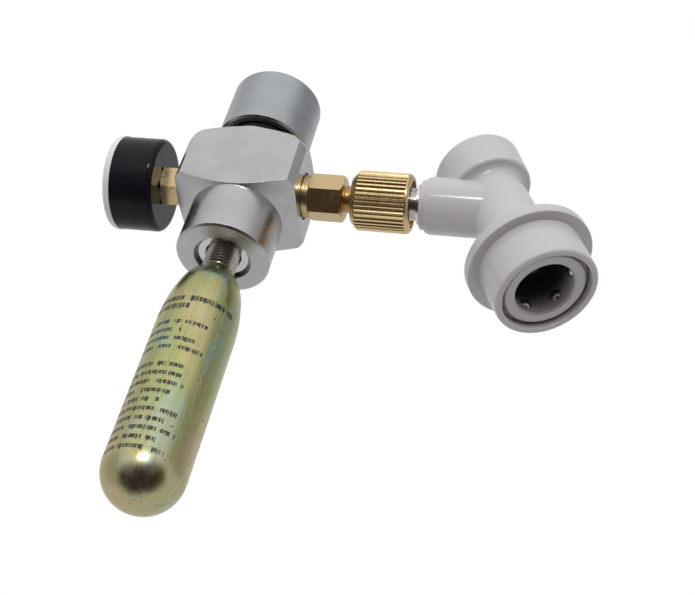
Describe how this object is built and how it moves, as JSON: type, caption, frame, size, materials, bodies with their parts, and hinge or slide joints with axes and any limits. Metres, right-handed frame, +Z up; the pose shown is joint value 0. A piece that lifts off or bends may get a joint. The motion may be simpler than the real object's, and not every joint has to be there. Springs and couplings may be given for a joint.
{
  "type": "mini gas charger for kegs",
  "caption": "Portable gas charger for ball-lock kegs: mini regulator with gauge and knob, threaded gas cartridge, brass swivel outlet and grey ball-lock disconnect.",
  "frame": {"origin": "middle of the disconnect's bore land, on the axis of the keg post it slides onto", "axes": "+Z up out of the keg along the post; the outlet arm leaves towards -X and rises, so the regulator, gauge and cartridge are on the -X side; +Y completes a right-handed frame"},
  "size_m": [0.1426, 0.0363, 0.1436],
  "materials": {
    "satin_aluminium": "satin, bead blasted and clear anodised",
    "knob_aluminium": "satin, turned and clear anodised",
    "black_aluminium": "black anodised",
    "nickel": "bright nickel plate",
    "steel": "plain stainless",
    "dark_steel": "phosphated spring steel",
    "spring_steel": "drawn wire",
    "brass": "machined, bright",
    "aged_brass": "machined, dull",
    "sintered_bronze": "porous",
    "black_rubber": "moulded",
    "white_seal": "moulded",
    "gauge_black": "gloss enamel",
    "gauge_lens": "clear moulded window",
    "dial_white": null,
    "needle_black": "matt enamel",
    "grey_plastic": "moulded acetal, soft gloss",
    "zinc_yellow": "yellow passivated zinc plate"
  },
  "bodies": {
    "disconnect": {"disconnect_body": "grey_plastic", "flare_insert": "nickel", "flare_seal": "white_seal", "collar_retaining_ring": "dark_steel", "collar_spring": "spring_steel", "poppet_spring": "spring_steel"},
    "regulator": {"regulator_body": "satin_aluminium", "cartridge_insert": "nickel", "piercing_pin": "steel", "piercing_pin_seal": "black_rubber", "inlet_filter": "sintered_bronze", "valve_seat": "white_seal", "valve_spring": "spring_steel", "bonnet": "black_aluminium", "gauge_stem": "brass", "gauge_case": "gauge_black", "gauge_lens": "gauge_lens", "gauge_dial": "dial_white", "bourdon_tube": "brass", "movement_plate": "brass", "outlet_stem": "brass", "outlet_washer": "aged_brass"},
    "nut": {"knurled_nut": "brass"},
    "cartridge": {"cartridge_shell": "zinc_yellow", "cartridge_seal": "steel"},
    "button": {"spring_button": "steel"},
    "knob": {"knob": "knob_aluminium", "adjusting_screw": "steel"},
    "piston": {"piston": "brass", "piston_o_ring": "black_rubber", "main_spring": "spring_steel"},
    "valve": {"valve_poppet": "brass"},
    "needle": {"gauge_needle": "needle_black"},
    "sector": {"sector_gear": "brass"},
    "collar": {"release_collar": "grey_plastic"},
    "cap": {"disconnect_cap": "grey_plastic", "cap_o_ring": "black_rubber"},
    "check": {"disconnect_poppet": "grey_plastic", "poppet_seal": "black_rubber"},
    "ball_1": {"lock_ball_1": "steel"},
    "ball_2": {"lock_ball_2": "steel"},
    "ball_3": {"lock_ball_3": "steel"},
    "ball_4": {"lock_ball_4": "steel"},
    "ball_5": {"lock_ball_5": "steel"},
    "ball_6": {"lock_ball_6": "steel"}
  },
  "joints": [
    {"name": "regulator_swivel", "type": "hinge", "parent": "disconnect", "child": "regulator", "pos_m": [-0.06762, 0, 0.06786], "axis": [0.892, 0, -0.452], "continuous": true},
    {"name": "nut_spin", "type": "hinge", "parent": "disconnect", "child": "nut", "pos_m": [-0.03015, 0, 0.04888], "axis": [0.892, 0, -0.452], "continuous": true},
    {"name": "cartridge_screw_out", "type": "slide", "parent": "regulator", "child": "cartridge", "axis": [0.4508, -0.0706, 0.8898], "range_m": [-0.03, 0.0052]},
    {"name": "button_advance", "type": "slide", "parent": "regulator", "child": "button", "axis": [-0.4508, 0.0706, -0.8898], "range_m": [0, 0.004], "deforming": ["main_spring"]},
    {"name": "knob_turn", "type": "hinge", "parent": "button", "child": "knob", "pos_m": [-0.05409, -0.00212, 0.09455], "axis": [-0.4508, 0.0706, -0.8898], "range_deg": [0, 960]},
    {"name": "piston_slide", "type": "slide", "parent": "regulator", "child": "piston", "axis": [-0.4508, 0.0706, -0.8898], "range_m": [0, 0.0006]},
    {"name": "valve_open", "type": "slide", "parent": "regulator", "child": "valve", "axis": [-0.4508, 0.0706, -0.8898], "range_m": [0, 0.0006], "deforming": ["valve_spring"]},
    {"name": "sector_swing", "type": "hinge", "parent": "regulator", "child": "sector", "pos_m": [-0.09625, 0.00847, 0.08878], "axis": [0.892, 0, -0.452], "range_deg": [-36, 0]},
    {"name": "needle_turn", "type": "hinge", "parent": "regulator", "child": "needle", "pos_m": [-0.09884, 0, 0.08368], "axis": [0.892, 0, -0.452], "range_deg": [0, 270]},
    {"name": "collar_lift", "type": "slide", "parent": "disconnect", "child": "collar", "axis": [0, 0, 1], "range_m": [0, 0.0035], "stiffness_N_per_m": 1200, "springref_m": -0.004, "deforming": ["collar_spring"]},
    {"name": "cap_unscrew", "type": "slide", "parent": "disconnect", "child": "cap", "axis": [0, 0, 1], "range_m": [0, 0.02]},
    {"name": "check_open", "type": "slide", "parent": "disconnect", "child": "check", "axis": [0, 0, 1], "range_m": [0, 0.0025], "stiffness_N_per_m": 300, "springref_m": -0.004, "deforming": ["poppet_spring"]},
    {"name": "ball_1_release", "type": "slide", "parent": "disconnect", "child": "ball_1", "axis": [0.5446, 0.8387, 0], "range_m": [0, 0.00075]},
    {"name": "ball_2_release", "type": "slide", "parent": "disconnect", "child": "ball_2", "axis": [-0.454, 0.891, 0], "range_m": [0, 0.00075]},
    {"name": "ball_3_release", "type": "slide", "parent": "disconnect", "child": "ball_3", "axis": [-0.9986, 0.0523, 0], "range_m": [0, 0.00075]},
    {"name": "ball_4_release", "type": "slide", "parent": "disconnect", "child": "ball_4", "axis": [-0.5446, -0.8387, 0], "range_m": [0, 0.00075]},
    {"name": "ball_5_release", "type": "slide", "parent": "disconnect", "child": "ball_5", "axis": [0.454, -0.891, 0], "range_m": [0, 0.00075]},
    {"name": "ball_6_release", "type": "slide", "parent": "disconnect", "child": "ball_6", "axis": [0.9986, -0.0523, 0], "range_m": [0, 0.00075]}
  ],
  "couplings": [
    {"joint": "knob_turn", "follows": "button_advance", "rad_per_m": 4188.8},
    {"joint": "valve_open", "follows": "piston_slide", "ratio": 1},
    {"joint": "needle_turn", "follows": "sector_swing", "ratio": -7.5},
    {"joint": "ball_1_release", "follows": "collar_lift", "ratio": 0.21429},
    {"joint": "ball_2_release", "follows": "collar_lift", "ratio": 0.21429},
    {"joint": "ball_3_release", "follows": "collar_lift", "ratio": 0.21429},
    {"joint": "ball_4_release", "follows": "collar_lift", "ratio": 0.21429},
    {"joint": "ball_5_release", "follows": "collar_lift", "ratio": 0.21429},
    {"joint": "ball_6_release", "follows": "collar_lift", "ratio": 0.21429}
  ]
}
